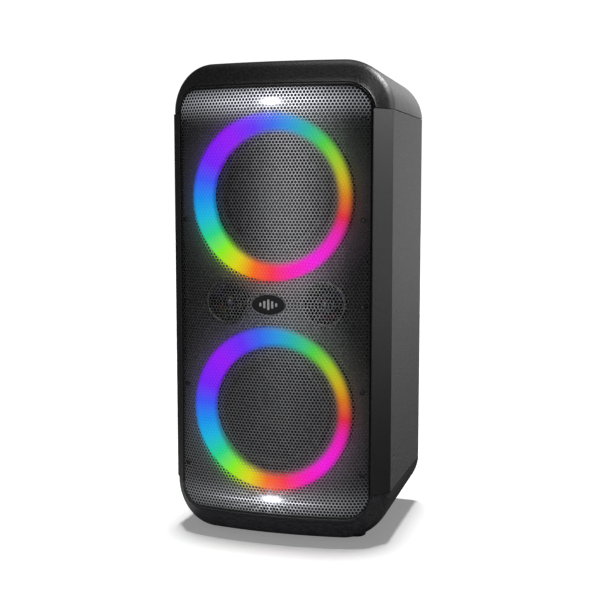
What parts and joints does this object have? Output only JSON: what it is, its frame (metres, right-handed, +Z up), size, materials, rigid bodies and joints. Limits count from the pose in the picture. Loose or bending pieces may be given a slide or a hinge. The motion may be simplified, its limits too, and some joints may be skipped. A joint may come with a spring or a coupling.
{
  "type": "party speaker",
  "caption": "Upright party speaker with two woofers and light rings behind a bowed perforated grille, soft-edged end caps, top controls and a recessed rear grip.",
  "frame": {"origin": "on the ground, below the middle of the speaker's box", "axes": "+Z up, +Y towards the speaker's back, +X to the right seen from the front"},
  "size_m": [0.27, 0.233, 0.5635],
  "materials": {
    "cap_plastic": "satin moulded ABS",
    "side_plastic": "fine grained moulded ABS",
    "strip_plastic": "smooth charcoal ABS",
    "panel_plastic": "matte black ABS",
    "grille_steel": "powder coated perforated steel",
    "baffle_board": "black moulded baffle",
    "light_diffuser": "lit frosted acrylic",
    "strobe_lens": "lit clear polycarbonate",
    "circuit_board": "solder masked glass epoxy",
    "basket_steel": "black painted pressed steel",
    "ferrite": "sintered ferrite",
    "plain_steel": "zinc plated steel",
    "surround_rubber": "butyl rubber",
    "cone_paper": "coated paper pulp",
    "coil_copper": "enamelled copper winding",
    "dome_aluminium": "satin dome",
    "heat_sink_aluminium": "extruded",
    "knob_aluminium": "knurled and anodised",
    "button_rubber": "silicone keypad",
    "switch_plastic": "gloss nylon",
    "socket_steel": "nickel plated",
    "battery_wrap": "shrink wrapped cells",
    "foot_rubber": "moulded rubber"
  },
  "bodies": {
    "root": {"top_cap": "cap_plastic", "bottom_cap": "cap_plastic", "right_side_panel": "side_plastic", "left_side_panel": "side_plastic", "back_panel": "side_plastic", "right_front_strip": "strip_plastic", "left_front_strip": "strip_plastic", "front_baffle": "baffle_board", "front_grille": "grille_steel", "badge": "panel_plastic", "handle_cup": "panel_plastic", "carry_handle": "panel_plastic", "left_bass_port": "panel_plastic", "right_bass_port": "panel_plastic", "input_panel": "panel_plastic", "control_panel": "panel_plastic", "right_tweeter_horn": "panel_plastic", "left_tweeter_horn": "panel_plastic", "upper_strobe_lens": "strobe_lens", "upper_light_ring": "light_diffuser", "upper_light_board": "circuit_board", "upper_woofer_basket": "basket_steel", "upper_woofer_magnet": "ferrite", "upper_woofer_yoke": "plain_steel", "upper_woofer_spider": "cone_paper", "upper_woofer_surround": "surround_rubber", "lower_strobe_lens": "strobe_lens", "lower_light_ring": "light_diffuser", "lower_light_board": "circuit_board", "lower_woofer_basket": "basket_steel", "lower_woofer_magnet": "ferrite", "lower_woofer_yoke": "plain_steel", "lower_woofer_spider": "cone_paper", "lower_woofer_surround": "surround_rubber", "mains_inlet": "switch_plastic", "usb_socket": "socket_steel", "microphone_jack_1": "socket_steel", "microphone_jack_2": "socket_steel", "amplifier_board": "circuit_board", "heat_sink": "heat_sink_aluminium", "battery_pack": "battery_wrap", "front_right_foot": "foot_rubber", "front_left_foot": "foot_rubber", "rear_right_foot": "foot_rubber", "rear_left_foot": "foot_rubber"},
    "upper_cone": {"upper_woofer_cone": "cone_paper", "upper_woofer_voice_coil": "coil_copper"},
    "lower_cone": {"lower_woofer_cone": "cone_paper", "lower_woofer_voice_coil": "coil_copper"},
    "right_dome": {"right_tweeter_dome": "dome_aluminium"},
    "left_dome": {"left_tweeter_dome": "dome_aluminium"},
    "volume_knob": {"volume_knob": "knob_aluminium"},
    "microphone_volume_knob": {"microphone_volume_knob": "switch_plastic"},
    "microphone_echo_knob": {"microphone_echo_knob": "switch_plastic"},
    "power_rocker": {"power_rocker": "switch_plastic"},
    "power_button": {"power_button": "button_rubber"},
    "light_button": {"light_button": "button_rubber"},
    "back_button": {"back_button": "button_rubber"},
    "play_button": {"play_button": "button_rubber"},
    "next_button": {"next_button": "button_rubber"}
  },
  "joints": [
    {"name": "upper_cone_travel", "type": "slide", "parent": "root", "child": "upper_cone", "axis": [0, -1, 0], "range_m": [-0.004, 0.004], "stiffness_N_per_m": 1800, "deforming": ["upper_woofer_surround", "upper_woofer_spider"]},
    {"name": "lower_cone_travel", "type": "slide", "parent": "root", "child": "lower_cone", "axis": [0, -1, 0], "range_m": [-0.004, 0.004], "stiffness_N_per_m": 1800, "deforming": ["lower_woofer_surround", "lower_woofer_spider"]},
    {"name": "right_dome_travel", "type": "slide", "parent": "root", "child": "right_dome", "axis": [0, -1, 0], "range_m": [-0.0003, 0.0003], "stiffness_N_per_m": 1500},
    {"name": "left_dome_travel", "type": "slide", "parent": "root", "child": "left_dome", "axis": [0, -1, 0], "range_m": [-0.0003, 0.0003], "stiffness_N_per_m": 1500},
    {"name": "volume_turn", "type": "hinge", "parent": "root", "child": "volume_knob", "pos_m": [-0.062, 0.00555, 0.55], "axis": [0, 0, -1], "continuous": true},
    {"name": "microphone_volume_turn", "type": "hinge", "parent": "root", "child": "microphone_volume_knob", "pos_m": [0.022, 0.11, 0.182], "axis": [0, -1, 0], "range_deg": [-150, 150]},
    {"name": "microphone_echo_turn", "type": "hinge", "parent": "root", "child": "microphone_echo_knob", "pos_m": [0.054, 0.11, 0.182], "axis": [0, -1, 0], "range_deg": [-150, 150]},
    {"name": "power_rocker_tilt", "type": "hinge", "parent": "root", "child": "power_rocker", "pos_m": [-0.064, 0.10255, 0.122], "axis": [1, 0, 0], "range_deg": [-24, 0]},
    {"name": "power_press", "type": "slide", "parent": "root", "child": "power_button", "axis": [0, 0, -1], "range_m": [0, 0.001], "stiffness_N_per_m": 900},
    {"name": "light_press", "type": "slide", "parent": "root", "child": "light_button", "axis": [0, 0, -1], "range_m": [0, 0.001], "stiffness_N_per_m": 900},
    {"name": "back_press", "type": "slide", "parent": "root", "child": "back_button", "axis": [0, 0, -1], "range_m": [0, 0.001], "stiffness_N_per_m": 900},
    {"name": "play_press", "type": "slide", "parent": "root", "child": "play_button", "axis": [0, 0, -1], "range_m": [0, 0.001], "stiffness_N_per_m": 900},
    {"name": "next_press", "type": "slide", "parent": "root", "child": "next_button", "axis": [0, 0, -1], "range_m": [0, 0.001], "stiffness_N_per_m": 900}
  ]
}
